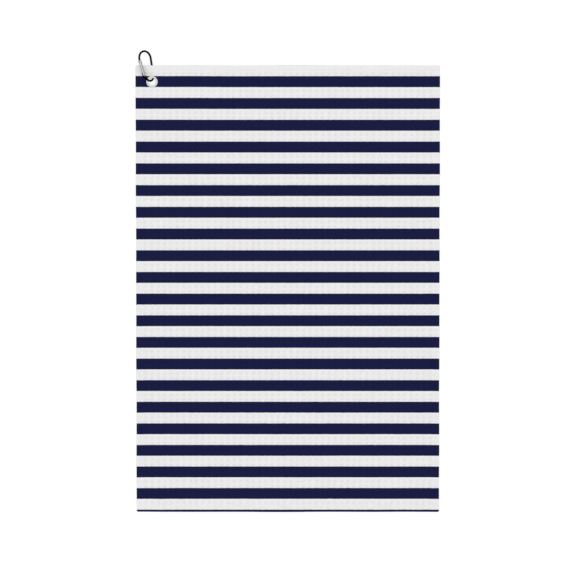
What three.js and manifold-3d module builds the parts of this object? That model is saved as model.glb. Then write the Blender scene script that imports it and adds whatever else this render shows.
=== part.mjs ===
// A golf towel laid flat: striped cloth with four turned and stitched hems, a metal eyelet in one
// corner, and a small spring-gate carabiner threaded through the eyelet.
// Millimetres, +X to the right along the short edges, +Y along the long edges towards the eyelet, +Z up.
// The origin is the middle of the cloth, on the surface that it lies on.
import * as THREE from "three";
import { mergeVertices } from "three/addons/utils/BufferGeometryUtils.js";
import Module from "manifold-3d";

const wasm = await Module();
wasm.setup();

// ---------- cloth ----------
const WIDTH = 406.4;
const HEIGHT = 598.4;
const CLOTH_THICKNESS = 1.8;

// ---------- hems: the edge turned under and sewn down ----------
const HEM_WIDTH = 8.2;
const HEM_LAYER = 1.25; // the turned-under layers, below the face layer
const HEM_GAP = 0.25; // between the turned-under layers and the face layer
const HEM_FACE = 1.2; // the face layer is pressed thinner over the hem
const HEM_INSET = 0.3; // the turned-under layers stop this far inside the fold
const HEM_RAMP = [8.4, 11.5]; // the cloth steps down from the hem to the surface between these
const FOLD_ROUNDING = 0.7; // how far the face drops at the fold's outer edge
const FOLD_REACH = 0.9;

// ---------- stitching ----------
const STITCH_INSET = 7.0; // stitch line from the outer edge
const GROOVE_HALF = 0.7;
const GROOVE_DEPTH = 0.5; // the thread pulls the cloth in by this much
const THREAD_RADIUS = 0.22;
const BOBBIN_Z = 0.24; // centre of the underside thread above the surface

// ---------- eyelet ----------
const EYELET_FROM_LEFT = 22.1;
const EYELET_FROM_TOP = 21.9;
const EYELET_HOLE_RADIUS = 5.0;
const EYELET_FLANGE_RADIUS = 7.75;
const CLOTH_HOLE_RADIUS = 5.65;
const PINCH_RADIUS = 8.1; // round the eyelet the cloth is pinched thinner
const PINCH_THICKNESS = 0.9;

// ---------- the corner is held up by the carabiner that passes under it ----------
const CORNER_LIFT = 3.9; // underside of the cloth above the surface, at the eyelet
const LIFT_FLAT = 44; // level out to this distance from the eyelet
const LIFT_END = 130; // down on the surface from here on

// ---------- carabiner, in its own plane: u across (spine at +u), v along, n out of the plane ----------
const TILT = THREE.MathUtils.degToRad(41); // about its long axis: the spine below the cloth, the gate above
const TIP = THREE.MathUtils.degToRad(7.78); // its far end is raised by this, which lays the spine level
const LEAN = THREE.MathUtils.degToRad(20.5); // its long axis turned from +Y towards -X
const ORIGIN = new THREE.Vector2(-1.52, 3.3); // u = v = 0, from the eyelet's centre
const ROD_RADIUS = 1.35;
const TOP_BEND = { u: 0, v: 28.85, r: 9.6 };
const FOOT_BEND = { u: -0.57, v: 4.65, r: 6.43 };
const GATE_U = -TOP_BEND.r;
const GATE_RADIUS = 2.05;
const HINGE_V = 9.0; // gate pivot
const LATCH_V = 27.05; // pin that the nose hooks
const GATE_TOP_V = 28.35;
const NOSE_V = 28.7; // end of the round rod above the gate
const BOSS_V = [5.1, 6.65]; // thicker end of the rod below the gate
const LUG = { halfWidth: 1.45, halfThickness: 0.65, topV: 10.45, chamfer: 0.25 };
const BLADE = { halfThickness: 0.55, halfWidth: 1.1, tipV: 25.65 };
const NOTCH = { from: -0.55, halfHeight: 0.75 };
const HINGE_SLOT = { half: 0.95, topV: 11.3 };
const LATCH_SLOT = { half: 0.85, footV: 25.35 };
const BORE = { radius: 1.3, footV: 10.3, topV: 21.75 };
const HINGE_PIN = { radius: 0.6, head: 1.0, headThickness: 0.35, hole: 0.7 };
const LATCH_PIN = { radius: 0.45, halfLength: 1.9, hole: 0.55 };
const PLUNGER = { radius: 1.02, footV: 10.75, topV: 13.3 };
const SPRING = { radius: 0.9, wire: 0.16, footV: 13.75, topV: 21.35, turns: 8 };

const FINE_STEP = 18; // cloth grid over the lifted corner

const MATERIALS = {
  cloth: { color: "#e9e9ec", roughness: 0.95, metalness: 0 },
  thread: { color: "#e4e4e8", roughness: 0.8, metalness: 0 },
  nickel: { color: "#cfd0d2", roughness: 0.22, metalness: 1 },
  blackRod: { color: "#0c0c0e", roughness: 0.42, metalness: 0.2 },
  silver: { color: "#c4c6c8", roughness: 0.3, metalness: 1 },
  steel: { color: "#9b9ea1", roughness: 0.35, metalness: 1 },
};

const eyelet = new THREE.Vector3(-WIDTH / 2 + EYELET_FROM_LEFT, HEIGHT / 2 - EYELET_FROM_TOP, 0);
const eyeletMidZ = CORNER_LIFT + CLOTH_THICKNESS / 2;

// ---------- helpers ----------

// A geometry, moved by a matrix, as a solid that can be added, subtracted or intersected.
function solid(geometry, matrix = new THREE.Matrix4()) {
  const bare = new THREE.BufferGeometry();
  const source = geometry.index ? geometry.toNonIndexed() : geometry.clone();
  bare.setAttribute("position", source.getAttribute("position"));
  bare.applyMatrix4(matrix);
  const merged = mergeVertices(bare, 1e-4);
  return new wasm.Manifold(
    new wasm.Mesh({
      numProp: 3,
      vertProperties: merged.attributes.position.array,
      triVerts: new Uint32Array(merged.index.array),
    }),
  );
}

function geometryOf(manifold) {
  const mesh = manifold.getMesh();
  const geometry = new THREE.BufferGeometry();
  geometry.setAttribute("position", new THREE.BufferAttribute(mesh.vertProperties, 3));
  geometry.setIndex(new THREE.BufferAttribute(mesh.triVerts, 1));
  const flat = geometry.toNonIndexed();
  flat.computeVertexNormals();
  return flat;
}

function meshOf(name, geometry, material, parent) {
  const mesh = new THREE.Mesh(geometry, new THREE.MeshStandardMaterial(MATERIALS[material]));
  mesh.name = name;
  parent.add(mesh);
  return mesh;
}

// 1 at and below `from`, 0 at and above `to`, with level ends.
function fade(value, from, to) {
  return 1 - THREE.MathUtils.smoothstep(value, from, to);
}

// Height of the cloth's underside above the surface.
function lift(x, y) {
  return CORNER_LIFT * fade(Math.hypot(x - eyelet.x, y - eyelet.y), LIFT_FLAT, LIFT_END);
}

// Distance from the nearest outer edge.
function edgeDistance(x, y) {
  return Math.min(WIDTH / 2 - Math.abs(x), HEIGHT / 2 - Math.abs(y));
}

// 1 over a hem, 0 inside it, with a straight ramp between.
function hemRise(x, y) {
  return 1 - THREE.MathUtils.clamp((edgeDistance(x, y) - HEM_RAMP[0]) / (HEM_RAMP[1] - HEM_RAMP[0]), 0, 1);
}

function undersideZ(x, y) {
  return lift(x, y) + (HEM_LAYER + HEM_GAP) * hemRise(x, y);
}

function faceZ(x, y) {
  const hem = hemRise(x, y);
  const thickness = THREE.MathUtils.lerp(CLOTH_THICKNESS, HEM_FACE, hem);
  const inset = edgeDistance(x, y);
  const fold = FOLD_ROUNDING * Math.max(0, 1 - inset / FOLD_REACH);
  const onStitch = [WIDTH / 2 - Math.abs(x), HEIGHT / 2 - Math.abs(y)].some(
    (d) => Math.abs(d - STITCH_INSET) < 0.01,
  );
  return undersideZ(x, y) + thickness - fold - (onStitch ? GROOVE_DEPTH : 0);
}

// Grid lines across one direction of the cloth: close together at the hems and over the lifted corner.
function gridLines(length, nearCornerFromEnd) {
  const hemLines = [
    0,
    FOLD_REACH,
    STITCH_INSET - GROOVE_HALF,
    STITCH_INSET,
    STITCH_INSET + GROOVE_HALF,
    HEM_RAMP[0],
    HEM_RAMP[1],
  ];
  const fineEnd = nearCornerFromEnd + LIFT_END;
  const fineCount = Math.round((fineEnd - HEM_RAMP[1]) / FINE_STEP);
  const fine = [];
  for (let i = 1; i <= fineCount; i++) {
    fine.push(THREE.MathUtils.lerp(HEM_RAMP[1], fineEnd, i / fineCount));
  }
  const middle = (fineEnd + length - HEM_RAMP[1]) / 2;
  return [...hemLines, ...fine, middle, ...hemLines.map((d) => length - d).reverse()];
}

// Columns from the left edge, rows from the top edge, both as distances from that edge.
const columns = gridLines(WIDTH, EYELET_FROM_LEFT);
const rows = gridLines(HEIGHT, EYELET_FROM_TOP);

// A closed slab between two height functions over the grid.
function clothSlab() {
  const across = columns.length;
  const down = rows.length;
  const positions = [];
  for (const heightAt of [undersideZ, faceZ]) {
    for (const row of rows) {
      for (const column of columns) {
        const x = column - WIDTH / 2;
        const y = HEIGHT / 2 - row;
        positions.push(x, y, heightAt(x, y));
      }
    }
  }
  const index = [];
  const low = (i, j) => j * across + i;
  const high = (i, j) => across * down + low(i, j);
  const quad = (a, b, c, d) => index.push(a, b, c, a, c, d);
  for (let j = 0; j < down - 1; j++) {
    for (let i = 0; i < across - 1; i++) {
      quad(high(i, j), high(i, j + 1), high(i + 1, j + 1), high(i + 1, j));
      quad(low(i, j), low(i + 1, j), low(i + 1, j + 1), low(i, j + 1));
    }
  }
  for (let i = 0; i < across - 1; i++) {
    quad(low(i, 0), high(i, 0), high(i + 1, 0), low(i + 1, 0));
    quad(low(i + 1, down - 1), high(i + 1, down - 1), high(i, down - 1), low(i, down - 1));
  }
  for (let j = 0; j < down - 1; j++) {
    quad(low(0, j + 1), high(0, j + 1), high(0, j), low(0, j));
    quad(low(across - 1, j), high(across - 1, j), high(across - 1, j + 1), low(across - 1, j + 1));
  }
  const geometry = new THREE.BufferGeometry();
  geometry.setAttribute("position", new THREE.Float32BufferAttribute(positions, 3));
  geometry.setIndex(index);
  return geometry;
}

// The four edges: where a point `along` the edge and `inset` from it lies in the plane.
const EDGES = {
  top: { lines: columns, at: (along, inset) => [along - WIDTH / 2, HEIGHT / 2 - inset] },
  bottom: { lines: columns, at: (along, inset) => [along - WIDTH / 2, inset - HEIGHT / 2] },
  left: { lines: rows, at: (along, inset) => [inset - WIDTH / 2, HEIGHT / 2 - along] },
  right: { lines: rows, at: (along, inset) => [WIDTH / 2 - inset, HEIGHT / 2 - along] },
};

// A closed bar along an edge: `section` is a loop of [inset, height above the lifted surface].
function edgeBar(edge, section, from, to) {
  const stations = [from, ...edge.lines.filter((d) => d > from + 0.5 && d < to - 0.5), to];
  const positions = [];
  for (const along of stations) {
    for (const [inset, height] of section) {
      const [x, y] = edge.at(along, inset);
      positions.push(x, y, lift(x, y) + height);
    }
  }
  const n = section.length;
  const index = [];
  for (let k = 0; k < stations.length - 1; k++) {
    for (let i = 0; i < n; i++) {
      const a = k * n + i;
      const b = k * n + ((i + 1) % n);
      index.push(a, b, b + n, a, b + n, a + n);
    }
  }
  const faces = THREE.ShapeUtils.triangulateShape(section.map(([s, h]) => new THREE.Vector2(s, h)), []);
  const last = (stations.length - 1) * n;
  for (const [a, b, c] of faces) {
    index.push(a, c, b);
    index.push(last + a, last + b, last + c);
  }
  const geometry = new THREE.BufferGeometry();
  geometry.setAttribute("position", new THREE.Float32BufferAttribute(positions, 3));
  geometry.setIndex(index);
  return facingOut(geometry);
}

// Turns a closed geometry's faces round where they point inwards.
function facingOut(geometry) {
  const body = solid(geometry);
  if (body.volume() > 0) return geometry;
  const index = geometry.index.array;
  for (let i = 0; i < index.length; i += 3) {
    [index[i + 1], index[i + 2]] = [index[i + 2], index[i + 1]];
  }
  return geometry;
}

// The turned-under layers' section, with the groove that the underside thread lies in.
const hemSection = [
  [HEM_INSET + 0.9, 0],
  [STITCH_INSET - GROOVE_HALF, 0],
  [STITCH_INSET, GROOVE_DEPTH + 0.15],
  [STITCH_INSET + GROOVE_HALF, 0],
  [HEM_WIDTH, 0.15],
  [HEM_WIDTH, HEM_LAYER],
  [HEM_INSET, HEM_LAYER],
  [HEM_INSET, 0.55],
];

function threadSection(centreZ) {
  const sides = 6;
  const loop = [];
  for (let i = 0; i < sides; i++) {
    const angle = (i / sides) * 2 * Math.PI;
    loop.push([STITCH_INSET + THREAD_RADIUS * Math.cos(angle), centreZ + THREAD_RADIUS * Math.sin(angle)]);
  }
  return loop;
}

// ---------- cloth, hems and stitching ----------
const towel = new THREE.Group();

// An upright disc centred on the eyelet, between two heights from the middle of the cloth.
function eyeletDisc(radius, from, to) {
  const disc = new THREE.CylinderGeometry(radius, radius, to - from, 32).rotateX(Math.PI / 2);
  return solid(disc.translate(eyelet.x, eyelet.y, eyeletMidZ + (from + to) / 2));
}

const panel = solid(facingOut(clothSlab()))
  .subtract(eyeletDisc(CLOTH_HOLE_RADIUS, -5, 5))
  .subtract(eyeletDisc(PINCH_RADIUS, PINCH_THICKNESS / 2, 5))
  .subtract(eyeletDisc(PINCH_RADIUS, -5, -PINCH_THICKNESS / 2));
meshOf("towel_panel", geometryOf(panel), "cloth", towel);

const hemTopZ = HEM_LAYER + HEM_GAP + HEM_FACE;
for (const [side, edge] of Object.entries(EDGES)) {
  const length = edge.lines[edge.lines.length - 1];
  const full = side === "top" || side === "bottom";
  const end = full ? HEM_INSET : HEM_WIDTH + 0.3;
  meshOf(`hem_${side}`, edgeBar(edge, hemSection, end, length - end), "cloth", towel);
  const stitchEnd = full ? STITCH_INSET : STITCH_INSET + 0.9;
  meshOf(
    `needle_thread_${side}`,
    edgeBar(edge, threadSection(hemTopZ - 0.05), stitchEnd, length - stitchEnd),
    "thread",
    towel,
  );
  const bobbinEnd = full ? STITCH_INSET : HEM_WIDTH + 0.6;
  meshOf(
    `bobbin_thread_${side}`,
    edgeBar(edge, threadSection(BOBBIN_Z), bobbinEnd, length - bobbinEnd),
    "thread",
    towel,
  );
}

// ---------- eyelet ----------
// Each profile is a closed loop of [radius, height from the middle of the cloth].
const barrelProfile = [
  [EYELET_HOLE_RADIUS, 0.6], [EYELET_HOLE_RADIUS, -0.55], [5.1, -0.95], [5.4, -1.22],
  [5.95, -1.33], [6.5, -1.24], [6.45, -1.12], [5.9, -1.12], [5.5, -0.9],
  [5.36, -0.55], [5.36, 0.5], [5.55, 0.6], [7.6, 0.6],
  [EYELET_FLANGE_RADIUS, 0.75], [7.35, 1.0], [6.3, 1.15], [5.5, 1.08], [5.12, 0.88],
];
const washerProfile = [
  [5.75, -0.6], [5.75, -0.95], [7.2, -0.97], [7.7, -0.8], [7.65, -0.6],
];

function ring(profile) {
  const loop = [...profile, profile[0]].map(([r, z]) => new THREE.Vector2(r, z));
  const geometry = new THREE.LatheGeometry(loop, 40);
  geometry.rotateX(Math.PI / 2);
  geometry.deleteAttribute("normal");
  geometry.deleteAttribute("uv");
  return facingOut(mergeVertices(geometry, 1e-4));
}

const eyeletGroup = new THREE.Group();
eyeletGroup.position.set(eyelet.x, eyelet.y, eyeletMidZ);
towel.add(eyeletGroup);
meshOf("eyelet_barrel", ring(barrelProfile), "nickel", eyeletGroup);
meshOf("eyelet_washer", ring(washerProfile), "nickel", eyeletGroup);

// ---------- carabiner ----------
const carabiner = new THREE.Group();
carabiner.position.set(eyelet.x + ORIGIN.x, eyelet.y + ORIGIN.y, eyeletMidZ);
carabiner.rotation.set(TIP, TILT, LEAN, "ZYX");

// A flat path, as a curve in space.
class FlatCurve extends THREE.Curve {
  constructor(path) {
    super();
    this.path = path;
  }
  getPoint(t, target = new THREE.Vector3()) {
    const p = this.path.getPoint(t);
    return target.set(p.x, p.y, 0);
  }
}

class Helix extends THREE.Curve {
  getPoint(t, target = new THREE.Vector3()) {
    const angle = t * SPRING.turns * 2 * Math.PI;
    const v = THREE.MathUtils.lerp(SPRING.footV + SPRING.wire, SPRING.topV - SPRING.wire, t);
    return target.set(GATE_U + SPRING.radius * Math.cos(angle), v, SPRING.radius * Math.sin(angle));
  }
}

function roundShape(radius, sides) {
  const shape = new THREE.Shape();
  for (let i = 0; i < sides; i++) {
    const angle = (i / sides) * 2 * Math.PI;
    const [x, y] = [radius * Math.cos(angle), radius * Math.sin(angle)];
    if (i === 0) shape.moveTo(x, y);
    else shape.lineTo(x, y);
  }
  shape.closePath();
  return shape;
}

// The rod's centre line: nose, top bend, straight spine, foot bend, and up to the hinge boss.
function rodPath() {
  const dx = TOP_BEND.u - FOOT_BEND.u;
  const dv = TOP_BEND.v - FOOT_BEND.v;
  const spineAngle = Math.atan2(dv, dx) - Math.acos((FOOT_BEND.r - TOP_BEND.r) / Math.hypot(dx, dv));
  const bx = GATE_U - FOOT_BEND.u;
  const bv = BOSS_V[0] - FOOT_BEND.v;
  const footAngle = Math.atan2(bv, bx) + Math.acos(FOOT_BEND.r / Math.hypot(bx, bv));
  const path = new THREE.Path();
  path.moveTo(GATE_U, NOSE_V);
  path.lineTo(GATE_U, TOP_BEND.v);
  path.absarc(TOP_BEND.u, TOP_BEND.v, TOP_BEND.r, Math.PI, spineAngle, true);
  path.absarc(FOOT_BEND.u, FOOT_BEND.v, FOOT_BEND.r, spineAngle, footAngle, true);
  path.lineTo(GATE_U, BOSS_V[0]);
  return path;
}

// A cylinder along v (the gate's direction) or along n (a pin's direction), at a place on the gate's axis.
function alongGate(radius, fromV, toV, sides = 24) {
  const at = new THREE.Matrix4().makeTranslation(GATE_U, (fromV + toV) / 2, 0);
  return solid(new THREE.CylinderGeometry(radius, radius, toV - fromV, sides), at);
}

function acrossGate(radius, v, fromN, toN, sides = 16) {
  const at = new THREE.Matrix4().makeTranslation(GATE_U, v, (fromN + toN) / 2);
  const turned = at.multiply(new THREE.Matrix4().makeRotationX(Math.PI / 2));
  return solid(new THREE.CylinderGeometry(radius, radius, toN - fromN, sides), turned);
}

function block(fromU, toU, fromV, toV, halfN) {
  const at = new THREE.Matrix4().makeTranslation((fromU + toU) / 2, (fromV + toV) / 2, 0);
  return solid(new THREE.BoxGeometry(toU - fromU, toV - fromV, 2 * halfN), at);
}

function rodSolid() {
  const rod = new THREE.ExtrudeGeometry(roundShape(ROD_RADIUS, 14), {
    steps: 96,
    extrudePath: new FlatCurve(rodPath()),
  });
  return solid(rod);
}

function lugSolid() {
  const { halfWidth, halfThickness, topV, chamfer } = LUG;
  const outline = new THREE.Shape();
  outline.moveTo(GATE_U - halfWidth, BOSS_V[1] - 0.3);
  outline.lineTo(GATE_U + halfWidth, BOSS_V[1] - 0.3);
  outline.lineTo(GATE_U + halfWidth, topV - chamfer);
  outline.lineTo(GATE_U + halfWidth - chamfer, topV);
  outline.lineTo(GATE_U - halfWidth + chamfer, topV);
  outline.lineTo(GATE_U - halfWidth, topV - chamfer);
  outline.closePath();
  const plate = new THREE.ExtrudeGeometry(outline, { depth: 2 * halfThickness, bevelEnabled: false });
  return solid(plate, new THREE.Matrix4().makeTranslation(0, 0, -halfThickness));
}

function bodySolid() {
  const bossEnd = new THREE.SphereGeometry(GATE_RADIUS, 24, 12);
  const boss = solid(bossEnd, new THREE.Matrix4().makeTranslation(GATE_U, BOSS_V[0], 0))
    .add(alongGate(GATE_RADIUS, BOSS_V[0], BOSS_V[1]))
    .subtract(block(GATE_U - 5, GATE_U + 5, BOSS_V[1], BOSS_V[1] + 5, 5));
  const blade = block(
    GATE_U - BLADE.halfWidth,
    GATE_U + BLADE.halfWidth,
    BLADE.tipV,
    NOSE_V + 0.6,
    BLADE.halfThickness,
  );
  const notch = block(
    GATE_U + NOTCH.from,
    GATE_U + 5,
    LATCH_V - NOTCH.halfHeight,
    LATCH_V + NOTCH.halfHeight,
    5,
  );
  return rodSolid()
    .add(boss)
    .add(lugSolid())
    .add(blade.subtract(notch))
    .subtract(acrossGate(HINGE_PIN.hole, HINGE_V, -2, 2));
}

function gateSolid() {
  const roundedFoot = alongGate(GATE_RADIUS, HINGE_V - GATE_RADIUS - 0.1, HINGE_V + 0.01).intersect(
    acrossGate(GATE_RADIUS, HINGE_V, -3, 3, 32),
  );
  return alongGate(GATE_RADIUS, HINGE_V, GATE_TOP_V)
    .add(roundedFoot)
    .subtract(block(GATE_U - 5, GATE_U + 5, HINGE_V - 5, HINGE_SLOT.topV, HINGE_SLOT.half))
    .subtract(block(GATE_U - 5, GATE_U + 5, LATCH_SLOT.footV, GATE_TOP_V + 5, LATCH_SLOT.half))
    .subtract(alongGate(BORE.radius, BORE.footV, BORE.topV))
    .subtract(acrossGate(HINGE_PIN.hole, HINGE_V, -5, 5))
    .subtract(acrossGate(LATCH_PIN.hole, LATCH_V, -5, 5));
}

function hingePinSolid() {
  const seat = GATE_RADIUS + 0.1;
  return acrossGate(HINGE_PIN.radius, HINGE_V, -seat - 0.1, seat + 0.1)
    .add(acrossGate(HINGE_PIN.head, HINGE_V, seat, seat + HINGE_PIN.headThickness))
    .add(acrossGate(HINGE_PIN.head, HINGE_V, -seat - HINGE_PIN.headThickness, -seat));
}

function plungerSolid() {
  const { radius, footV, topV } = PLUNGER;
  const profile = [
    [0, footV], [0.6, footV], [radius, footV + 0.4], [radius, topV - 0.15], [radius - 0.15, topV], [0, topV],
  ].map(([r, v]) => new THREE.Vector2(r, v));
  const turned = new THREE.LatheGeometry(profile, 20);
  return solid(turned, new THREE.Matrix4().makeTranslation(GATE_U, 0, 0));
}

const gateSpring = new THREE.ExtrudeGeometry(roundShape(SPRING.wire, 5), {
  steps: 88,
  extrudePath: new Helix(),
});

meshOf("carabiner_body", geometryOf(bodySolid()), "blackRod", carabiner);
meshOf("carabiner_gate", geometryOf(gateSolid()), "silver", carabiner);
meshOf("gate_hinge_pin", geometryOf(hingePinSolid()), "steel", carabiner);
meshOf(
  "gate_latch_pin",
  geometryOf(acrossGate(LATCH_PIN.radius, LATCH_V, -LATCH_PIN.halfLength, LATCH_PIN.halfLength)),
  "steel",
  carabiner,
);
meshOf("spring_plunger", geometryOf(plungerSolid()), "steel", carabiner);
meshOf("gate_spring", geometryOf(solid(gateSpring)), "steel", carabiner);

const part = new THREE.Group();
part.add(towel, carabiner);

export default part;
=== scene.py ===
import math

import bpy
import numpy as np
from mathutils import Matrix, Vector


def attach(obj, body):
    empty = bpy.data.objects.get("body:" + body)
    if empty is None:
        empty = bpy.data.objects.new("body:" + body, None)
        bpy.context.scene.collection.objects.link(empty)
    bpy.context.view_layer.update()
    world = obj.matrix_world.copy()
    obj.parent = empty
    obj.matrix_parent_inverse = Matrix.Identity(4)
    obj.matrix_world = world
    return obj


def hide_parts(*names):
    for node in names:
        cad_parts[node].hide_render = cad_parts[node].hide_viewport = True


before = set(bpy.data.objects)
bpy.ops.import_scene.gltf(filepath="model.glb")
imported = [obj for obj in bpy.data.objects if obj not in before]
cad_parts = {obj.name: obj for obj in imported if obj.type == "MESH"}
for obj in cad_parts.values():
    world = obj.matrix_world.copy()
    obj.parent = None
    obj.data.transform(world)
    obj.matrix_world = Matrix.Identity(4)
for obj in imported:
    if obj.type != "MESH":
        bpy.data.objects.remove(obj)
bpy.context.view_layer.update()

# Lengths are in millimetres until a mesh is made, and angles in degrees.
MM = 0.001

# ---------- towel ----------
WIDTH, LENGTH = 406.4, 598.4
THICKNESS = 1.8
CORNER_RADIUS = 2.2
EDGE_WANDER, EDGE_FADE = 0.22, 25.0  # the outline's unevenness, and how far in it reaches
FOLD_DEPTH = 0.75  # of the curve round the outer edge, on the plan
FOLD_INSIDE = 1.3  # where the turned-down edge ends under the hem

# ---------- hems: insets are from the outer edge ----------
HEM_FACE = 1.2  # thickness of the face layer over a hem
HEM_LAYER = 1.25  # thickness of the turned-under layers
HEM_RISE = 1.5  # height of the face layer's underside over a hem
HEM_START, HEM_WIDTH = 1.7, 8.2
HEM_RAMP = (8.2, 12.0)  # insets between which the face layer comes down
PUFF, PUFF_INSET, PUFF_SPREAD = 0.3, 3.8, 2.0
STITCH_INSET = 7.0
STITCH_LENGTH = 3.0
STITCH_PULL, GROOVE_SPREAD = 0.55, 0.75
THREAD_RADIUS = 0.21
THREAD_CROWN, THREAD_DIP = 0.1, -0.42  # heights of a stitch's middle and its ends
NEEDLE_LEVEL, BOBBIN_LEVEL = 0.12, 0.26

# ---------- waffle weave ----------
CELL = (8.47, 7.26)
CELL_STEPS = (6, 5)
WAFFLE_DEPTH = 0.78
WAFFLE_MEAN = 0.6  # share of the relief below the cloth's mean surface
RIDGE_SHARPNESS = 2.2
HEM_RELIEF, BACK_RELIEF = 0.45, 0.5  # shares of the depth

# ---------- printed stripes, from the top edge down ----------
STRIPE_START = 14.26
STRIPE_PERIOD = 29.04
STRIPE_WIDTH = 14.72
INK_WANDER, INK_SHARPNESS = 0.55, 2.5

# ---------- eyelet ----------
EYELET = np.array([-WIDTH / 2 + 22.1, LENGTH / 2 - 21.9])
EYELET_MID_Z = 4.8
CLOTH_HOLE = 6.0
HOLE_REACH = 15.0  # the weave is pushed aside out to here
PINCH = (7.6, 11.5)  # radii between which the cloth is pinched by the ring, and isn't
PINCHED_HALF = 0.45  # half the thickness there

# ---------- carabiner: u across (spine at +u), v along, n out of its plane ----------
TILT, TIP, LEAN = 41.0, 7.78, 20.5
ORIGIN = (-1.52, 3.3)
ROD_RADIUS = 1.35
TOP_BEND = (0.0, 28.85, 9.6)
FOOT_BEND = (-0.57, 4.65, 6.43)
GATE_U = -9.6
GATE_RADIUS = 2.05
HINGE_V, LATCH_V = 9.0, 27.05
GATE_TOP_V, NOSE_V = 28.35, 28.7
BOSS_V = (5.1, 6.65)
LUG_HALF = (1.45, 0.65)  # across, and out of the plane
BLADE_HALF, BLADE_FOOT_V = (1.1, 0.55), 25.65
NOTCH_HALF = (0.55, 0.75)  # across, and along
SUNK = 0.6  # how far the lug and the blade are sunk into the rod
HINGE_SLOT_HALF, HINGE_SLOT_TOP_V = 0.95, 11.3
LATCH_SLOT_HALF, LATCH_SLOT_FOOT_V = 0.85, 25.35
BORE_RADIUS, BORE_V = 1.3, (10.3, 21.75)
HINGE_HOLE_RADIUS, LATCH_HOLE_RADIUS = 0.7, 0.55
HINGE_PIN_RADIUS, HINGE_PIN_REACH = 0.6, 2.3
HEAD_RADIUS, HEAD_CENTRE, HEAD_FOOT = 1.25, 1.45, 2.13
LATCH_PIN_RADIUS, LATCH_PIN_REACH = 0.45, 1.9
SPRING_RADIUS, SPRING_WIRE, SPRING_TURNS, SPRING_V = 0.9, 0.16, 8, (13.91, 21.19)

carabiner_matrix = (
    Matrix.Translation((EYELET[0] + ORIGIN[0], EYELET[1] + ORIGIN[1], EYELET_MID_Z))
    @ Matrix.Rotation(math.radians(LEAN), 4, "Z")
    @ Matrix.Rotation(math.radians(TILT), 4, "Y")
    @ Matrix.Rotation(math.radians(TIP), 4, "X")
)


# ---------- small helpers ----------
def smoothstep(value, low, high):
    t = np.clip((np.asarray(value, float) - low) / (high - low), 0, 1)
    return t * t * (3 - 2 * t)


def lerp(a, b, t):
    return a + (b - a) * t


def grid_quads(index):
    """The faces between neighbours in a grid of point numbers."""
    corners = (index[:-1, :-1], index[:-1, 1:], index[1:, 1:], index[1:, :-1])
    return np.stack(corners, -1).reshape(-1, 4)


def skin(rings, sides):
    """The faces of a tube through that many rings of points, capped at both ends."""
    faces = []
    for k in range(rings - 1):
        for i in range(sides):
            j = (i + 1) % sides
            faces.append((k * sides + i, k * sides + j, (k + 1) * sides + j, (k + 1) * sides + i))
    last = (rings - 1) * sides
    return [*faces, tuple(range(sides))[::-1], tuple(range(last, last + sides))]


def circle(sides):
    return [2 * math.pi * i / sides for i in range(sides)]


def set_attribute(obj, name, values):
    obj.data.attributes.new(name, "FLOAT", "POINT").data.foreach_set("value", values)


def mesh_object(name, points, faces, smooth=True):
    """A mesh object from points in millimetres in the row frame."""
    mesh = bpy.data.meshes.new(name)
    points = np.asarray(points, float) * MM
    faces = [tuple(int(i) for i in f) for f in faces]
    mesh.from_pydata(points.tolist(), [], faces)
    mesh.update()
    if smooth:
        mesh.shade_smooth()
    obj = bpy.data.objects.new(name, mesh)
    bpy.context.scene.collection.objects.link(obj)
    return obj


def put(obj, body, material, slot, *nodes):
    """Rides obj on its body in place of its CAD nodes, in that material."""
    for m in material if isinstance(material, (list, tuple)) else [material]:
        obj.data.materials.append(m)
    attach(obj, body)
    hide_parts(*nodes)
    return obj


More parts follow.
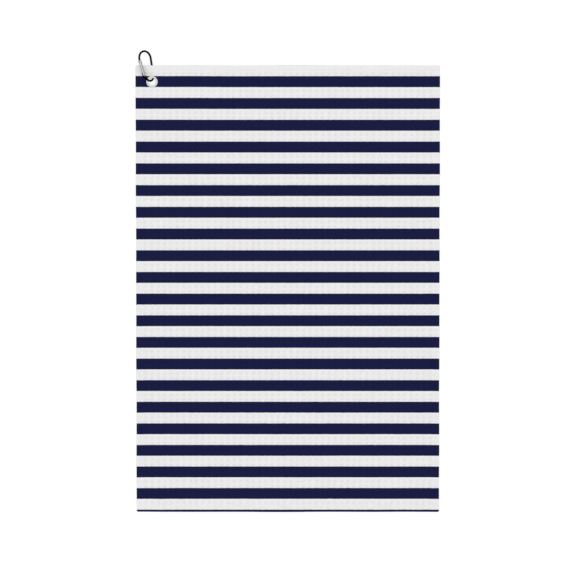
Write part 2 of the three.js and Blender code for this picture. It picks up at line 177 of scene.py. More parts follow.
# ---------- materials ----------
class Shader:
    """Builds a material's nodes: every method returns an output socket."""

    def __init__(self, name):
        self.material = bpy.data.materials.new(name)
        self.material.use_nodes = True
        self.tree = self.material.node_tree
        self.principled = self.tree.nodes["Principled BSDF"]

    def node(self, kind, inputs=None, output=0, **settings):
        made = self.tree.nodes.new(kind)
        for key, value in settings.items():
            setattr(made, key, value)
        for key, value in (inputs or {}).items():
            if isinstance(value, bpy.types.NodeSocket):
                self.tree.links.new(value, made.inputs[key])
            else:
                made.inputs[key].default_value = value
        return made.outputs[output]

    def math(self, operation, a, b=0.0, clamp=False):
        return self.node("ShaderNodeMath", {0: a, 1: b}, operation=operation, use_clamp=clamp)

    def coordinates(self):
        return self.node("ShaderNodeTexCoord", output="Object")

    def attribute(self, name):
        return self.node("ShaderNodeAttribute", output="Fac", attribute_name=name)

    def noise(self, scale, detail=2.0, roughness=0.5, stretch=None):
        where = self.coordinates()
        if stretch:
            where = self.node("ShaderNodeMapping", {"Vector": where, "Scale": stretch})
        return self.node(
            "ShaderNodeTexNoise",
            {"Vector": where, "Scale": scale, "Detail": detail, "Roughness": roughness},
        )

    def between(self, factor, low, high):
        return self.node("ShaderNodeMapRange", {"Value": factor, "To Min": low, "To Max": high})

    def mix(self, factor, a, b):
        made = self.tree.nodes.new("ShaderNodeMix")
        made.data_type = "RGBA"
        for key, value in ((0, factor), (6, a), (7, b)):
            if isinstance(value, bpy.types.NodeSocket):
                self.tree.links.new(value, made.inputs[key])
            elif key:
                made.inputs[key].default_value = (*value, 1.0)
            else:
                made.inputs[key].default_value = value
        return made.outputs[2]

    def scale_colour(self, colour, by):
        return self.node("ShaderNodeVectorMath", {0: colour, "Scale": by}, operation="SCALE")

    def bump(self, height, strength, distance, normal=None):
        inputs = {"Height": height, "Strength": strength, "Distance": distance}
        if normal is not None:
            inputs["Normal"] = normal
        return self.node("ShaderNodeBump", inputs)

    def finish(self, colour=None, roughness=None, normal=None, **constants):
        for key, value in (("Base Color", colour), ("Roughness", roughness), ("Normal", normal)):
            if isinstance(value, bpy.types.NodeSocket):
                self.tree.links.new(value, self.principled.inputs[key])
            elif value is not None:
                self.principled.inputs[key].default_value = value
        for key, value in constants.items():
            self.principled.inputs[key.replace("_", " ")].default_value = value
        return self.material


WHITE_CLOTH = (0.831, 0.827, 0.834)
NAVY_INK = (0.0074, 0.0091, 0.0513)
UNDYED_CLOTH = (0.83, 0.826, 0.828)
PAINTED_PIT_SHADE = (1.018, 0.915)  # painted shade as colour factors: lighter on the ridges, and darker in the pits


def cloth_material(name, printed, pile):
    """Microfibre: printed with the stripes where the mesh's ink attribute says, or plain white."""
    s = Shader(name)
    fibre = s.noise(2600, 3, 0.6)
    patch = s.noise(24, 2, 0.5)
    if printed:
        y = s.node("ShaderNodeSeparateXYZ", {0: s.coordinates()}, output="Y")
        from_top = s.math("SUBTRACT", LENGTH / 2, s.math("MULTIPLY", y, 1 / MM))
        wander = s.math("MULTIPLY", s.math("SUBTRACT", s.noise(420, 2), 0.5), INK_WANDER)
        first_middle = STRIPE_START + STRIPE_WIDTH / 2
        turns = s.math("DIVIDE", s.math("SUBTRACT", from_top, first_middle), STRIPE_PERIOD)
        from_middle = s.math("ABSOLUTE", s.math("SUBTRACT", turns, s.math("ROUND", turns)))
        from_middle = s.math("MULTIPLY", from_middle, STRIPE_PERIOD)
        inside = s.math("SUBTRACT", STRIPE_WIDTH / 2, from_middle)
        edge = s.math("MULTIPLY", s.math("ADD", inside, wander), INK_SHARPNESS)
        edge = s.math("ADD", edge, 0.5, clamp=True)
        colour = s.mix(s.math("MULTIPLY", edge, s.attribute("ink")), WHITE_CLOTH, NAVY_INK)
    else:
        colour = UNDYED_CLOTH
    tone_and_painted_shade = s.math("MULTIPLY", s.between(fibre, 0.93, 1.07), s.between(patch, 0.975, 1.025))
    # painted shade: the weave's pits are darkened and its ridges lightened, following the pit
    # attribute
    tone_and_painted_shade = s.math("MULTIPLY", tone_and_painted_shade, s.between(s.attribute("pit"), *PAINTED_PIT_SHADE))
    colour = s.scale_colour(colour, tone_and_painted_shade)
    loops = s.node(
        "ShaderNodeTexVoronoi", {"Vector": s.coordinates(), "Scale": 1250, "Randomness": 0.8}
    )
    normal = s.bump(loops, 0.6 * pile, 0.0004)
    normal = s.bump(fibre, 0.45 * pile, 0.0002, normal)
    return s.finish(
        colour,
        s.between(fibre, 0.86, 1.0),
        normal,
        Sheen_Weight=0.05,
        Sheen_Roughness=0.5,
        Specular_IOR_Level=0.1,
    )


def metal_material(name, colour, roughness, metallic, brushed, specular=0.5):
    """Plated or painted metal with fine wear, and a grain drawn out along Y if it is brushed."""
    s = Shader(name)
    wear = s.noise(900, 4, 0.65)
    grain = s.noise(1500, 3, 0.6, stretch=(1.0, 0.12, 1.0) if brushed else None)
    smudge = s.noise(160, 2, 0.5)
    tone = s.math("MULTIPLY", s.between(grain, 0.94, 1.06), s.between(smudge, 0.96, 1.04))
    worn = tuple(min(1.0, c * 1.3 + 0.002) for c in colour)
    base = s.mix(s.between(wear, 0.0, 0.08), colour, worn)
    rough = s.between(wear, roughness * 0.8, roughness * 1.2)
    rough = s.math("MULTIPLY", s.between(smudge, 0.85, 1.2), rough)
    return s.finish(
        s.scale_colour(base, tone),
        rough,
        s.bump(grain, 0.05, 0.0001),
        Metallic=metallic,
        Specular_IOR_Level=specular,
    )


printed_cloth = cloth_material("printed_microfibre", True, 1.0)
back_cloth = cloth_material("plain_microfibre", False, 1.0)
hem_cloth = cloth_material("hem_microfibre", False, 0.7)
printed_thread = cloth_material("printed_thread", True, 0.25)
plain_thread = cloth_material("plain_thread", False, 0.25)
nickel = metal_material("polished_nickel", (0.46, 0.46, 0.47), 0.24, 1.0, False)
black_rod = metal_material("black_enamel", (0.0015, 0.0015, 0.0017), 0.38, 0.0, False, 0.02)
silver = metal_material("satin_silver", (0.46, 0.463, 0.468), 0.2, 1.0, True)
steel = metal_material("bright_steel", (0.48, 0.48, 0.49), 0.3, 1.0, False)


# ---------- how the cloth lies ----------
GRID = 7.0  # of the cloth that is let fall
SWEEP_RADIUS = 44.0  # the carabiner's spine turns under the cloth inside this
SWEEP_HEIGHT = 3.1
SWEEP_FLARE, SWEEP_FOOT = 3.0, -9.0
TABLE_HALF = 600.0
LEVEL_END = 85.0  # the cloth is kept level inside the sweep, and is free outside this
PINNED_RADIUS = 13.0
WAVE_END = 80.0  # the waves come in from the pinned cloth out to here
WAVE_RISE = 1.0
LIFT_FLAT, LIFT_END, LIFT = 44.0, 130.0, 3.9
SIM_SCALE = 0.01  # ten times real size, so that the solver's margins are small beside the cloth
SIM_MARGIN = 0.35
SIM_FRAMES = 45
WAVES = (
    (0.30, 0.0058, 0.0031, 0.4),
    (0.26, -0.0039, 0.0052, 2.1),
    (0.16, 0.0087, 0.0022, 4.0),
    (0.14, 0.0024, 0.0083, 1.2),
)  # height, turns per millimetre across and along, phase


def eyelet_distance(x, y):
    return np.hypot(x - EYELET[0], y - EYELET[1])


def lifted(x, y):
    return LIFT * (1 - smoothstep(eyelet_distance(x, y), LIFT_FLAT, LIFT_END))


def kept_level(x, y):
    """1 where the carabiner swings over and under the cloth, 0 away from it."""
    return 1 - smoothstep(eyelet_distance(x, y), SWEEP_RADIUS, LEVEL_END)


def settled_heights():
    """Heights of the cloth's underside on a coarse grid, once it has fallen on the table."""
    nx, ny = round(WIDTH / GRID) + 1, round(LENGTH / GRID) + 1
    xs, ys = np.linspace(-WIDTH / 2, WIDTH / 2, nx), np.linspace(-LENGTH / 2, LENGTH / 2, ny)
    x, y = (a.ravel() for a in np.meshgrid(xs, ys))
    waves = sum(h * np.sin(2 * math.pi * (a * x + b * y) + c) for h, a, b, c in WAVES)
    away = smoothstep(eyelet_distance(x, y), PINNED_RADIUS, WAVE_END)
    z = lifted(x, y) + away * (waves + WAVE_RISE)
    points = np.stack([x, y, z], 1) * SIM_SCALE
    quads = grid_quads(np.arange(nx * ny).reshape(ny, nx))
    mesh = bpy.data.meshes.new("falling_cloth")
    mesh.from_pydata(points.tolist(), [], quads.tolist())
    cloth = bpy.data.objects.new("falling_cloth", mesh)
    bpy.context.scene.collection.objects.link(cloth)
    pins = cloth.vertex_groups.new(name="pins")
    pinned = np.flatnonzero(eyelet_distance(x, y) < PINNED_RADIUS)
    pins.add([int(i) for i in pinned], 1.0, "REPLACE")

    sim = cloth.modifiers.new("cloth", "CLOTH")
    sim.settings.quality = 8
    sim.settings.mass = 0.02
    sim.settings.tension_stiffness = 40
    sim.settings.compression_stiffness = 40
    sim.settings.shear_stiffness = 20
    sim.settings.bending_stiffness = 14
    sim.settings.air_damping = 3
    sim.settings.vertex_group_mass = "pins"
    sim.collision_settings.distance_min = SIM_MARGIN * SIM_SCALE
    sim.collision_settings.collision_quality = 4
    sim.point_cache.frame_start, sim.point_cache.frame_end = 1, SIM_FRAMES

    sides = 48

    def disc(radius, z):
        around = circle(sides)
        return [
            (EYELET[0] + radius * math.cos(a), EYELET[1] + radius * math.sin(a), z) for a in around
        ]

    top = disc(SWEEP_RADIUS, SWEEP_HEIGHT)
    foot = disc(SWEEP_RADIUS + SWEEP_FLARE, SWEEP_FOOT)
    walls = [(i, (i + 1) % sides, sides + (i + 1) % sides, sides + i) for i in range(sides)]
    far = TABLE_HALF
    table = [(-far, -far, 0), (far, -far, 0), (far, far, 0), (-far, far, 0)]
    solids = []
    for name, vertices, faces in (
        ("swept_space", top + foot, [tuple(range(sides))] + [w[::-1] for w in walls]),
        ("table_top", table, [(0, 1, 2, 3)]),
    ):
        shape = bpy.data.meshes.new(name)
        shape.from_pydata([tuple(c * SIM_SCALE for c in v) for v in vertices], [], faces)
        solid = bpy.data.objects.new(name, shape)
        bpy.context.scene.collection.objects.link(solid)
        solid.modifiers.new("collision", "COLLISION")
        solid.collision.thickness_outer = SIM_MARGIN * SIM_SCALE
        solid.collision.cloth_friction = 15
        solids.append(solid)

    scene = bpy.context.scene
    for number in range(1, SIM_FRAMES + 1):
        scene.frame_set(number)
    evaluated = cloth.evaluated_get(bpy.context.evaluated_depsgraph_get())
    fallen = np.empty(len(points) * 3)
    evaluated.data.vertices.foreach_get("co", fallen)
    heights = fallen.reshape(-1, 3)[:, 2] / SIM_SCALE
    scene.frame_set(1)
    for obj in [cloth, *solids]:
        bpy.data.objects.remove(obj, do_unlink=True)
    distance = eyelet_distance(x, y)
    resting = np.percentile(heights[distance > LIFT_END], 2)
    heights = heights - resting * smoothstep(distance, 20, LIFT_END)
    heights = lerp(np.maximum(heights, 0), lifted(x, y), kept_level(x, y))
    return xs, ys, heights.reshape(ny, nx)


grid_x, grid_y, grid_z = settled_heights()


def catmull_rom(t):
    return (
        0.5 * (-t + 2 * t**2 - t**3),
        0.5 * (2 - 5 * t**2 + 3 * t**3),
        0.5 * (t + 4 * t**2 - 3 * t**3),
        0.5 * (-(t**2) + t**3),
    )


def base_z(x, y):
    """Height of the cloth's underside above the table, anywhere on it."""
    x, y = np.broadcast_arrays(np.asarray(x, float), np.asarray(y, float))
    i = np.clip((x - grid_x[0]) / (grid_x[1] - grid_x[0]), 0, len(grid_x) - 1.001)
    j = np.clip((y - grid_y[0]) / (grid_y[1] - grid_y[0]), 0, len(grid_y) - 1.001)
    i0, j0 = i.astype(int), j.astype(int)
    height = 0
    for b, wy in enumerate(catmull_rom(j - j0)):
        row = np.clip(j0 + b - 1, 0, len(grid_y) - 1)
        for a, wx in enumerate(catmull_rom(i - i0)):
            column = np.clip(i0 + a - 1, 0, len(grid_x) - 1)
            height = height + wy * wx * grid_z[row, column]
    return np.maximum(height, 0)


# ---------- the cloth's two faces ----------
def edge_insets(x, y):
    return WIDTH / 2 - np.abs(x), LENGTH / 2 - np.abs(y)


def hem_share(x, y):
    """1 over a hem, 0 inside it."""
    return 1 - smoothstep(np.minimum(*edge_insets(x, y)), *HEM_RAMP)


def waffle(x, y, shift):
    """1 on the ridges of the weave, 0 in its pits."""
    ridges = [
        np.abs(np.cos(math.pi * (c / size + shift))) ** RIDGE_SHARPNESS
        for c, size in ((x, CELL[0]), (y, CELL[1]))
    ]
    return 1 - (1 - ridges[0]) * (1 - ridges[1])


def stitch_pull(x, y):
    """How far the stitching draws the face in: a groove, deeper where the needle goes through."""
    pull = 0
    for inset, along in zip(edge_insets(x, y), (y, x)):
        groove = np.exp(-(((inset - STITCH_INSET) / GROOVE_SPREAD) ** 2))
        holes = 0.72 + 0.28 * np.cos(2 * math.pi * along / STITCH_LENGTH)
        pull = np.maximum(pull, groove * holes)
    return STITCH_PULL * pull


def pinch(x, y):
    """1 where the eyelet pinches the cloth, 0 away from it."""
    return 1 - smoothstep(eyelet_distance(x, y), *PINCH)


def faces_z(x, y):
    """(underside, face) heights of the panel."""
    hem = hem_share(x, y)
    flat = 1 - pinch(x, y)
    inset = np.minimum(*edge_insets(x, y))
    puff = PUFF * hem * np.exp(-(((inset - PUFF_INSET) / PUFF_SPREAD) ** 2))
    puff = puff * (1 - 0.8 * kept_level(x, y))
    relief = WAFFLE_DEPTH * lerp(1.0, HEM_RELIEF, hem) * flat
    under = base_z(x, y) + HEM_RISE * hem
    middle = under + lerp(THICKNESS, HEM_FACE, hem) / 2
    half = lerp(PINCHED_HALF, lerp(THICKNESS, HEM_FACE, hem) / 2, flat)
    face = middle + half + puff + relief * (waffle(x, y, 0.0) - WAFFLE_MEAN) - stitch_pull(x, y)
    back = middle - half + (1 - hem) * relief * BACK_RELIEF * (1 - waffle(x, y, 0.5))
    return back, face


def face_z(x, y):
    return faces_z(x, y)[1]


def rounded(x, y):
    """Rounds the outline's corners, and lets its edges wander very slightly."""
    dx, dy = edge_insets(x, y)
    ax, ay = np.clip(1 - dx / CORNER_RADIUS, 0, 1), np.clip(1 - dy / CORNER_RADIUS, 0, 1)
    length = np.maximum(np.hypot(ax, ay), 1e-9)
    keep = np.where((ax > 0) & (ay > 0), np.maximum(ax, ay) / length, 1.0)
    x = x - np.sign(x) * CORNER_RADIUS * ax * (1 - keep)
    y = y - np.sign(y) * CORNER_RADIUS * ay * (1 - keep)
    near_x, near_y = np.exp(-dx / EDGE_FADE), np.exp(-dy / EDGE_FADE)
    x = x + EDGE_WANDER * near_x * np.sin(y * 0.041 + np.sign(x)) * np.sin(y * 0.0113)
    y = y + EDGE_WANDER * near_y * np.sin(x * 0.037 + np.sign(y)) * np.cos(x * 0.0137)
    return x, y


def beside_eyelet(x, y):
    """Pushes the weave aside from the hole."""
    r = eyelet_distance(x, y)
    wanted = np.where(r < HOLE_REACH, CLOTH_HOLE + r * (1 - CLOTH_HOLE / HOLE_REACH), r)
    ratio = wanted / np.maximum(r, 1e-6)
    return EYELET[0] + (x - EYELET[0]) * ratio, EYELET[1] + (y - EYELET[1]) * ratio


def cloth_panel():
    """The face layer: two woven faces, joined round the fold and round the eyelet's hole."""
    across = np.linspace(-WIDTH / 2, WIDTH / 2, round(WIDTH / CELL[0] * CELL_STEPS[0]) + 1)
    along = np.linspace(-LENGTH / 2, LENGTH / 2, round(LENGTH / CELL[1] * CELL_STEPS[1]) + 1)
    nx, ny = len(across), len(along)
    flat_x, flat_y = np.meshgrid(across, along)
    hole = np.unravel_index(np.argmin(eyelet_distance(flat_x, flat_y)), flat_x.shape)
    x, y = beside_eyelet(*rounded(flat_x, flat_y))
    back, face = faces_z(x, y)
    index = np.arange(nx * ny).reshape(ny, nx)
    quads = grid_quads(index)
    quads = quads[~(quads == index[hole]).any(1)]

    fold = np.concatenate([index[0, :-1], index[:-1, -1], index[-1, :0:-1], index[:0:-1, 0]])
    ring = ((-1, -1), (-1, 0), (-1, 1), (0, 1), (1, 1), (1, 0), (1, -1), (0, -1))
    lip = np.array([index[hole[0] + row, hole[1] + column] for row, column in ring])

    fx, fy = x.ravel(), y.ravel()
    points = [np.stack([fx, fy, face.ravel()], 1), np.stack([fx, fy, back.ravel()], 1)]
    ink = [np.ones(nx * ny), np.zeros(nx * ny)]
    count = nx * ny

    # The fold: the face turns down round the outer edge, under the hem, and up inside it.
    out_x = np.where(np.abs(fx[fold]) > WIDTH / 2 - CORNER_RADIUS, np.sign(fx[fold]), 0.0)
    out_y = np.where(np.abs(fy[fold]) > LENGTH / 2 - CORNER_RADIUS, np.sign(fy[fold]), 0.0)
    out = np.stack([out_x, out_y], 1)
    out /= np.linalg.norm(out, axis=1, keepdims=True)
    foot = base_z(fx[fold], fy[fold])
    top = face.ravel()[fold]
    middle, half = (top + foot + 0.08) / 2, (top - foot - 0.08) / 2
    points[0][fold, :2] -= FOLD_DEPTH * out
    points[1][fold, :2] -= FOLD_INSIDE * out
    rows = []
    for angle in (68, 46, 23, 0, -23, -46, -68, -90):
        c, s = math.cos(math.radians(angle)), math.sin(math.radians(angle))
        rows.append((FOLD_DEPTH * (c - 1), middle + half * s, smoothstep(angle, -40, 15)))
    rows.append((-FOLD_INSIDE, middle - half + 0.02, 0.0))
    fold_rows = [fold]
    for reach, z, inked in rows:
        points.append(np.stack([fx[fold] + out[:, 0] * reach, fy[fold] + out[:, 1] * reach, z], 1))
        ink.append(np.full(len(fold), float(inked)))
        start = sum(len(p) for p in points[:-1])
        fold_rows.append(np.arange(start, start + len(fold)))
    fold_rows.append(fold + count)

    def band(lower, upper):
        return np.stack([lower, np.roll(lower, -1), np.roll(upper, -1), upper], 1)

    faces = [quads, quads[:, ::-1] + count]
    faces += [band(fold_rows[k + 1], fold_rows[k]) for k in range(len(fold_rows) - 1)]
    faces.append(band(lip, lip + count))
    towel = mesh_object("towel_cloth", np.concatenate(points), np.concatenate(faces))
    set_attribute(towel, "ink", np.concatenate(ink))
    # the pit attribute steers painted shade in the weave: 1 in its pits, less over the hems on the
    # face
    pit = np.zeros(len(towel.data.vertices))
    pit[:count] = (1 - waffle(fx, fy, 0.0)) * (1 - 0.6 * hem_share(fx, fy))
    pit[count : 2 * count] = 1 - waffle(fx, fy, 0.5)
    set_attribute(towel, "pit", pit)
    material = np.zeros(len(towel.data.polygons), int)
    material[len(quads) : 2 * len(quads)] = 1
    towel.data.polygons.foreach_set("material_index", material)
    return towel


towel = put(cloth_panel(), "towel", [printed_cloth, back_cloth], "cloth", "towel_panel")


# ---------- hems and stitches ----------
def edge_point(side, along, inset):
    """The place on the plan `along` an edge and `inset` from it."""
    return {
        "top": (along - WIDTH / 2, LENGTH / 2 - inset),
        "bottom": (along - WIDTH / 2, inset - LENGTH / 2),
        "left": (inset - WIDTH / 2, LENGTH / 2 - along),
        "right": (WIDTH / 2 - inset, LENGTH / 2 - along),
    }[side]


def ring_mesh(name, rings, flip=False):
    """A closed tube through rings of points."""
    faces = skin(len(rings), len(rings[0]))
    if flip:
        faces = [f[::-1] for f in faces]
    return mesh_object(name, np.concatenate(rings), faces)


def hem_piece(side, length, end):
    """The edge turned under twice: a soft, uneven flat roll, drawn in along the stitching."""
    outline = []
    inner, outer, low, high = HEM_START, HEM_WIDTH, 0.05, HEM_LAYER + 0.1
    for t in np.linspace(0, 1, 14):
        outline.append((lerp(inner, outer, t), low))
    for angle in np.linspace(-60, 60, 5):
        c, s = math.cos(math.radians(angle)), math.sin(math.radians(angle))
        outline.append((outer + 0.45 * c, (low + high) / 2 + (high - low) / 2 * s))
    for t in np.linspace(1, 0, 8):
        outline.append((lerp(inner, outer, t), high))
    rings = []
    for along in np.linspace(end, length - end, round((length - 2 * end) / 1.5) + 1):
        holes = 0.6 + 0.4 * math.cos(2 * math.pi * along / STITCH_LENGTH)
        ring = []
        for inset, z in outline:
            x, y = edge_point(side, along, inset + 0.25 * math.sin(along * 0.11) * (inset > 6))
            if z < 0.4:
                z = 0.06 + 0.42 * holes * math.exp(-(((inset - STITCH_INSET) / 0.8) ** 2))
                z += 0.1 * (1 - float(waffle(x, y, 0.25)))
            ring.append((x, y, float(base_z(x, y)) + z))
        rings.append(np.array(ring))
    return ring_mesh(f"hem_fold_{side}", rings, flip=side in ("bottom", "left"))


def stitch_row(name, side, length, end, height, upward):
    """Stitches along one edge: each lies on the cloth and dips into it at both ends."""
    first = math.ceil((end + 0.2) / STITCH_LENGTH)
    last = math.floor((length - end - 0.2) / STITCH_LENGTH)
    steps = 8
    path = []
    for k in range(first, last):
        for step in range(steps):
            t = step / steps
            along = (k + t) * STITCH_LENGTH
            dip = abs(2 * t - 1) ** 5
            slant = 0.16 * (2 * t - 1) * (1 if upward else -1)
            x, y = edge_point(side, along, STITCH_INSET + slant)
            z = height(x, y) + upward * lerp(THREAD_CROWN, THREAD_DIP, dip)
            path.append((x, y, z))
    path = np.array(path)
    ahead = np.gradient(path, axis=0)
    ahead /= np.linalg.norm(ahead, axis=1, keepdims=True)
    across = np.cross(ahead, (0, 0, 1))
    across /= np.linalg.norm(across, axis=1, keepdims=True)
    over = np.cross(across, ahead)
    rings = [
        np.array([p + THREAD_RADIUS * (math.cos(t) * a + math.sin(t) * o) for t in circle(8)])
        for p, a, o in zip(path, across, over)
    ]
    return ring_mesh(name, rings, flip=True)


def top_of_groove(x, y):
    return float(face_z(x, y)) + NEEDLE_LEVEL


def under_groove(x, y):
    return float(base_z(x, y)) + BOBBIN_LEVEL


for side in ("top", "bottom", "left", "right"):
    full = side in ("top", "bottom")
    length = WIDTH if full else LENGTH
    hem = hem_piece(side, length, HEM_START if full else HEM_WIDTH + 0.6)
    put(hem, "towel", hem_cloth, "cloth", f"hem_{side}")
    stitch_end = STITCH_INSET if full else STITCH_INSET + 0.5
    needle = stitch_row(f"needle_stitches_{side}", side, length, stitch_end, top_of_groove, 1)
    set_attribute(needle, "ink", np.ones(len(needle.data.vertices)))
    put(needle, "towel", printed_thread, "thread", f"needle_thread_{side}")
    bobbin_end = STITCH_INSET if full else HEM_WIDTH + 0.9
    bobbin = stitch_row(f"bobbin_stitches_{side}", side, length, bobbin_end, under_groove, -1)
    put(bobbin, "towel", plain_thread, "thread", f"bobbin_thread_{side}")


# ---------- metal ----------
def lathe(profile, segments=96):
    """A closed loop of (radius, height) turned about Z."""
    turns = np.linspace(0, 2 * math.pi, segments, endpoint=False)
    points = [(r * math.cos(t), r * math.sin(t), z) for t in turns for r, z in profile]
    n = len(profile)
    faces = []
    for k in range(segments):
        for i in range(n):
            j, m = (i + 1) % n, (k + 1) % segments
            faces.append((k * n + i, m * n + i, m * n + j, k * n + j))
    return points, faces


def soften(profile, rounds=2):
    """Cuts a closed loop's corners to make it round."""
    for _ in range(rounds):
        cut = []
        for i, p in enumerate(profile):
            q = profile[(i + 1) % len(profile)]
            cut.append(tuple(lerp(a, b, 0.25) for a, b in zip(p, q)))
            cut.append(tuple(lerp(a, b, 0.75) for a, b in zip(p, q)))
        profile = cut
    return profile


def at_eyelet(points):
    return np.asarray(points) + np.array([*EYELET, EYELET_MID_Z])


barrel = [
    (5.0, 0.6), (5.0, -0.55), (5.1, -0.95), (5.4, -1.22), (5.95, -1.33), (6.5, -1.24),
    (6.45, -1.12), (5.9, -1.12), (5.5, -0.9), (5.36, -0.55), (5.36, 0.5), (5.55, 0.6),
    (7.6, 0.6), (7.75, 0.75), (7.35, 1.0), (6.3, 1.15), (5.5, 1.08), (5.12, 0.88),
]
washer = [(5.75, -0.6), (5.75, -0.95), (7.2, -0.97), (7.7, -0.8), (7.65, -0.6)]
for name, profile, node in (
    ("eyelet_ring", barrel, "eyelet_barrel"),
    ("eyelet_back_ring", washer, "eyelet_washer"),
):
    points, faces = lathe(soften(profile))
    put(mesh_object(name, at_eyelet(points), faces), "towel", nickel, "nickel", node)


def solid(name, points, faces):
    """A shape in the carabiner's own frame, still in millimetres, to be combined with others."""
    return mesh_object(name, np.asarray(points) / MM, faces, smooth=False)


def evaluated_copy(obj):
    graph = bpy.context.evaluated_depsgraph_get()
    return bpy.data.meshes.new_from_object(obj.evaluated_get(graph))


def combine(target, operation, *others):
    for other in others:
        modifier = target.modifiers.new("combine", "BOOLEAN")
        modifier.operation = operation
        modifier.solver = "EXACT"
        modifier.object = other
        mesh = evaluated_copy(target)
        target.modifiers.clear()
        target.data = mesh
        bpy.data.objects.remove(other, do_unlink=True)
    return target


def finished(obj, name, bevel=0.12, angle=32):
    """Softens a combined shape's edges, and moves it into the row frame."""
    if bevel:
        modifier = obj.modifiers.new("bevel", "BEVEL")
        modifier.width = bevel
        modifier.segments = 3
        modifier.limit_method = "ANGLE"
        modifier.angle_limit = math.radians(angle)
        mesh = evaluated_copy(obj)
        obj.modifiers.clear()
        obj.data = mesh
    obj.data.transform(Matrix.Scale(MM, 4) @ carabiner_matrix)
    obj.data.shade_smooth()
    obj.data.set_sharp_from_angle(angle=math.radians(50))
    obj.name = obj.data.name = name
    return obj


def cylinder(radius, start, end, sides=48):
    """A cylinder between two points of the carabiner's frame."""
    start, end = Vector(start), Vector(end)
    along = (end - start).normalized()
    across = along.orthogonal().normalized()
    over = along.cross(across)
    points = [
        c + radius * (math.cos(t) * across + math.sin(t) * over)
        for c in (start, end)
        for t in circle(sides)
    ]
    return solid("cylinder", points, skin(2, sides))


def box(low, high):
    ends = list(zip(low, high))
    points = [(x, y, z) for x in ends[0] for y in ends[1] for z in ends[2]]
    faces = [(0, 1, 3, 2), (4, 6, 7, 5), (0, 4, 5, 1), (2, 3, 7, 6), (0, 2, 6, 4), (1, 5, 7, 3)]
    return solid("box", points, faces)


def slab(half, low_v, high_v):
    """A box centred on the gate's axis, of half sizes across and out of the plane."""
    return box((GATE_U - half[0], low_v, -half[1]), (GATE_U + half[0], high_v, half[1]))


def along_gate(radius, low_v, high_v, sides=48):
    return cylinder(radius, (GATE_U, low_v, 0), (GATE_U, high_v, 0), sides)


def across_gate(radius, v, reach, sides=48):
    return cylinder(radius, (GATE_U, v, -reach), (GATE_U, v, reach), sides)


def sphere(radius, centre, rings=24, sides=48):
    points, faces = [], []
    for k in range(1, rings):
        polar = math.pi * k / rings
        for i in range(sides):
            turn = 2 * math.pi * i / sides
            points.append(
                (
                    centre[0] + radius * math.sin(polar) * math.cos(turn),
                    centre[1] + radius * math.cos(polar),
                    centre[2] - radius * math.sin(polar) * math.sin(turn),
                )
            )
    for k in range(rings - 2):
        for i in range(sides):
            j = (i + 1) % sides
            faces.append((k * sides + i, (k + 1) * sides + i, (k + 1) * sides + j, k * sides + j))
    faces.append(tuple(range(sides)))
    last = (rings - 2) * sides
    faces.append(tuple(range(last, last + sides))[::-1])
    return solid("sphere", points, faces)


def tube(path, radius, sides=28):
    """A round bar along a path of points, with level ends."""
    path = np.asarray(path, float)
    ahead = np.gradient(path, axis=0)
    ahead /= np.linalg.norm(ahead, axis=1, keepdims=True)
    side = np.cross(ahead[0], (0, 0, 1))
    if np.linalg.norm(side) < 0.1:
        side = np.cross(ahead[0], (1, 0, 0))
    points = []
    for p, a in zip(path, ahead):
        side = side - a * side.dot(a)
        side /= np.linalg.norm(side)
        over = np.cross(a, side)
        points += [p + radius * (math.cos(t) * side + math.sin(t) * over) for t in circle(sides)]
    return solid("tube", points, skin(len(path), sides))


def arc(bend, start, end, step=0.45):
    u, v, r = bend
    count = max(2, round(abs(end - start) * r / step))
    return [(u + r * math.cos(t), v + r * math.sin(t), 0.0) for t in np.linspace(start, end, count)]


def straight_line(start, end, count):
    start, end = np.array(start), np.array(end)
    return [tuple(lerp(start, end, t)) for t in np.linspace(0, 1, count)]


def rod_path():
    """Nose, top bend, straight spine, foot bend, and up to the boss below the gate."""
    du, dv = TOP_BEND[0] - FOOT_BEND[0], TOP_BEND[1] - FOOT_BEND[1]
    spine = math.atan2(dv, du) - math.acos((FOOT_BEND[2] - TOP_BEND[2]) / math.hypot(du, dv))
    bu, bv = GATE_U - FOOT_BEND[0], BOSS_V[0] - FOOT_BEND[1]
    foot = math.atan2(bv, bu) + math.acos(FOOT_BEND[2] / math.hypot(bu, bv)) - 2 * math.pi
    ends = arc(FOOT_BEND, spine, foot)
    top = arc(TOP_BEND, math.pi, spine)
    straight = straight_line(top[-1], ends[0], 24)[1:-1]
    rise = straight_line(ends[-1], (GATE_U, BOSS_V[0], 0.0), 8)[1:]
    return [(GATE_U, NOSE_V, 0.0), *top, *straight, *ends, *rise]


def carabiner_rod():
    """The rod, with the boss and lug below the gate and the notched latch blade at the nose."""
    body = tube(rod_path(), ROD_RADIUS)
    boss = sphere(GATE_RADIUS, (GATE_U, BOSS_V[0], 0.0))
    combine(boss, "UNION", along_gate(GATE_RADIUS - 0.01, *BOSS_V))
    combine(boss, "DIFFERENCE", slab((4, 4), BOSS_V[1], BOSS_V[1] + 4))
    lug = slab(LUG_HALF, BOSS_V[1] - SUNK, HINGE_V + LUG_HALF[0])
    blade = slab(BLADE_HALF, BLADE_FOOT_V, NOSE_V + SUNK)
    notch_low = (GATE_U - NOTCH_HALF[0], LATCH_V - NOTCH_HALF[1], -2)
    notch_high = (GATE_U + 5, LATCH_V + NOTCH_HALF[1], 2)
    combine(blade, "DIFFERENCE", box(notch_low, notch_high))
    combine(body, "UNION", boss, lug, blade)
    combine(body, "DIFFERENCE", across_gate(HINGE_HOLE_RADIUS, HINGE_V, 2))
    return finished(body, "carabiner_rod", 0.15, 40)


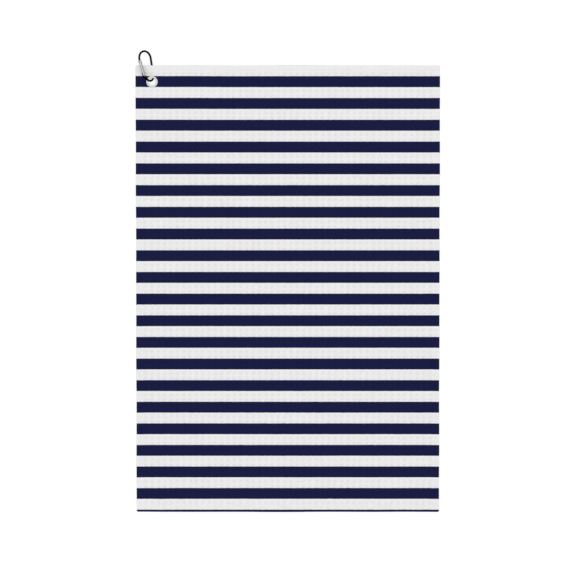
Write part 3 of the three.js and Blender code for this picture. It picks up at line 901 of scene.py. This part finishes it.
def gate_tube():
    """A tube with a rounded foot, slotted at both ends, bored for the spring and drilled."""
    gate = along_gate(GATE_RADIUS, HINGE_V, GATE_TOP_V, 64)
    foot = along_gate(GATE_RADIUS, HINGE_V - GATE_RADIUS - 0.1, HINGE_V + 0.3, 64)
    combine(foot, "INTERSECT", across_gate(GATE_RADIUS, HINGE_V, 3, 64))
    combine(gate, "UNION", foot)
    combine(
        gate,
        "DIFFERENCE",
        slab((5, HINGE_SLOT_HALF), HINGE_V - 5, HINGE_SLOT_TOP_V),
        slab((5, LATCH_SLOT_HALF), LATCH_SLOT_FOOT_V, GATE_TOP_V + 5),
        along_gate(BORE_RADIUS, *BORE_V),
        across_gate(HINGE_HOLE_RADIUS, HINGE_V, 5),
        across_gate(LATCH_HOLE_RADIUS, LATCH_V, 5),
    )
    return finished(gate, "gate_tube", 0.1, 40)


def hinge_rivet():
    """A pin with a domed head at each end."""
    pin = across_gate(HINGE_PIN_RADIUS, HINGE_V, HINGE_PIN_REACH)
    for side in (-1, 1):
        dome = sphere(HEAD_RADIUS, (GATE_U, HINGE_V, side * HEAD_CENTRE))
        keep = box((GATE_U - 3, HINGE_V - 3, HEAD_FOOT), (GATE_U + 3, HINGE_V + 3, 4))
        if side < 0:
            keep.data.transform(Matrix.Scale(-1, 4, (0, 0, 1)))
            keep.data.flip_normals()
        combine(dome, "INTERSECT", keep)
        combine(pin, "UNION", dome)
    return finished(pin, "hinge_rivet", 0.04)


def latch_rivet():
    pin = across_gate(LATCH_PIN_RADIUS, LATCH_V, LATCH_PIN_REACH)
    return finished(pin, "latch_rivet", 0.08)


def plunger_pin():
    """A blunt pin, narrower at the end that meets the lug."""
    profile = [(0.6, 10.78), (0.9, 10.95), (1.02, 11.2), (1.02, 13.12), (0.87, 13.3)]
    sides = 40
    points = [
        (GATE_U + r * math.cos(t), v, r * math.sin(t)) for r, v in profile for t in circle(sides)
    ]
    faces = [f[::-1] for f in skin(len(profile), sides)]
    return finished(solid("plunger", points, faces), "plunger_pin", 0)


def spring_coil():
    turns = np.linspace(0, SPRING_TURNS * 2 * math.pi, SPRING_TURNS * 28)
    path = [
        (
            GATE_U + SPRING_RADIUS * math.cos(t),
            lerp(*SPRING_V, t / turns[-1]),
            SPRING_RADIUS * math.sin(t),
        )
        for t in turns
    ]
    return finished(tube(path, SPRING_WIRE, 10), "spring_coil", 0)


put(carabiner_rod(), "carabiner", black_rod, "black_rod", "carabiner_body")
put(gate_tube(), "gate", silver, "silver_gate", "carabiner_gate")
put(hinge_rivet(), "gate", steel, "steel", "gate_hinge_pin")
put(latch_rivet(), "gate", steel, "steel", "gate_latch_pin")
put(spring_coil(), "gate", steel, "steel", "gate_spring")
put(plunger_pin(), "plunger", steel, "steel", "spring_plunger")


# ---------- table, light and camera ----------
TABLE_GLOW = 0.74  # it is a light table, which keeps shadows faint
TABLE_REACH = 15000
TABLE_Z = -0.05
DOME_STRENGTH = 1.39
DOME_LOW, DOME_HIGH = (0.1, 0.03), (0.9, 1.0)  # height up the dome, and brightness there
KEY_PLACE, KEY_SIZE, KEY_POWER = (-0.7, 1.0, 2.2), (1.6, 1.6), 3.6
CAMERA_DISTANCE = 3.0
CAMERA_AIM = (0.000234, 0.001917, 0.0)
CAMERA_TIP = 2.097
FIELD = 0.77202  # width of table seen


def floor_material():
    s = Shader("white_table")
    tone = s.between(s.noise(3, 2), 0.275, 0.285)
    return s.finish(
        s.scale_colour((1.0, 1.0, 1.0), tone),
        0.9,
        Specular_IOR_Level=0.1,
        Emission_Color=(1.0, 1.0, 1.0, 1.0),
        Emission_Strength=TABLE_GLOW,
    )


table_corners = [
    (x * TABLE_REACH, y * TABLE_REACH, TABLE_Z) for x, y in ((-1, -1), (1, -1), (1, 1), (-1, 1))
]
table = mesh_object("table", table_corners, [(0, 1, 2, 3)], smooth=False)
table.data.materials.append(floor_material())


def studio_world():
    """A white dome that darkens towards the horizon."""
    world = bpy.data.worlds.new("studio")
    world.use_nodes = True
    tree = world.node_tree
    where = tree.nodes.new("ShaderNodeTexCoord")
    split = tree.nodes.new("ShaderNodeSeparateXYZ")
    ramp = tree.nodes.new("ShaderNodeMapRange")
    ramp.inputs["From Min"].default_value, ramp.inputs["To Min"].default_value = DOME_LOW
    ramp.inputs["From Max"].default_value, ramp.inputs["To Max"].default_value = DOME_HIGH
    tree.links.new(where.outputs["Generated"], split.inputs[0])
    tree.links.new(split.outputs["Z"], ramp.inputs["Value"])
    background = tree.nodes["Background"]
    background.inputs["Strength"].default_value = DOME_STRENGTH
    tree.links.new(ramp.outputs[0], background.inputs["Color"])
    bpy.context.scene.world = world


studio_world()


def area_light(name, place, size, power):
    data = bpy.data.lights.new(name, "AREA")
    data.shape = "RECTANGLE"
    data.size, data.size_y = size
    data.energy = power
    light = bpy.data.objects.new(name, data)
    light.location = place
    light.rotation_euler = (-Vector(place)).to_track_quat("-Z", "Y").to_euler()
    bpy.context.scene.collection.objects.link(light)


area_light("key", KEY_PLACE, KEY_SIZE, KEY_POWER)

camera_data = bpy.data.cameras.new("camera")
camera_data.sensor_width = 36
camera_data.lens = 36 * CAMERA_DISTANCE / FIELD
camera = bpy.data.objects.new("camera", camera_data)
tip = math.radians(CAMERA_TIP)
away = Vector((0, math.sin(tip), math.cos(tip)))
camera.location = Vector(CAMERA_AIM) + CAMERA_DISTANCE * away
camera.rotation_euler = (-tip, 0, 0)
bpy.context.scene.collection.objects.link(camera)
bpy.context.scene.camera = camera
bpy.context.scene.view_settings.view_transform = "Standard"
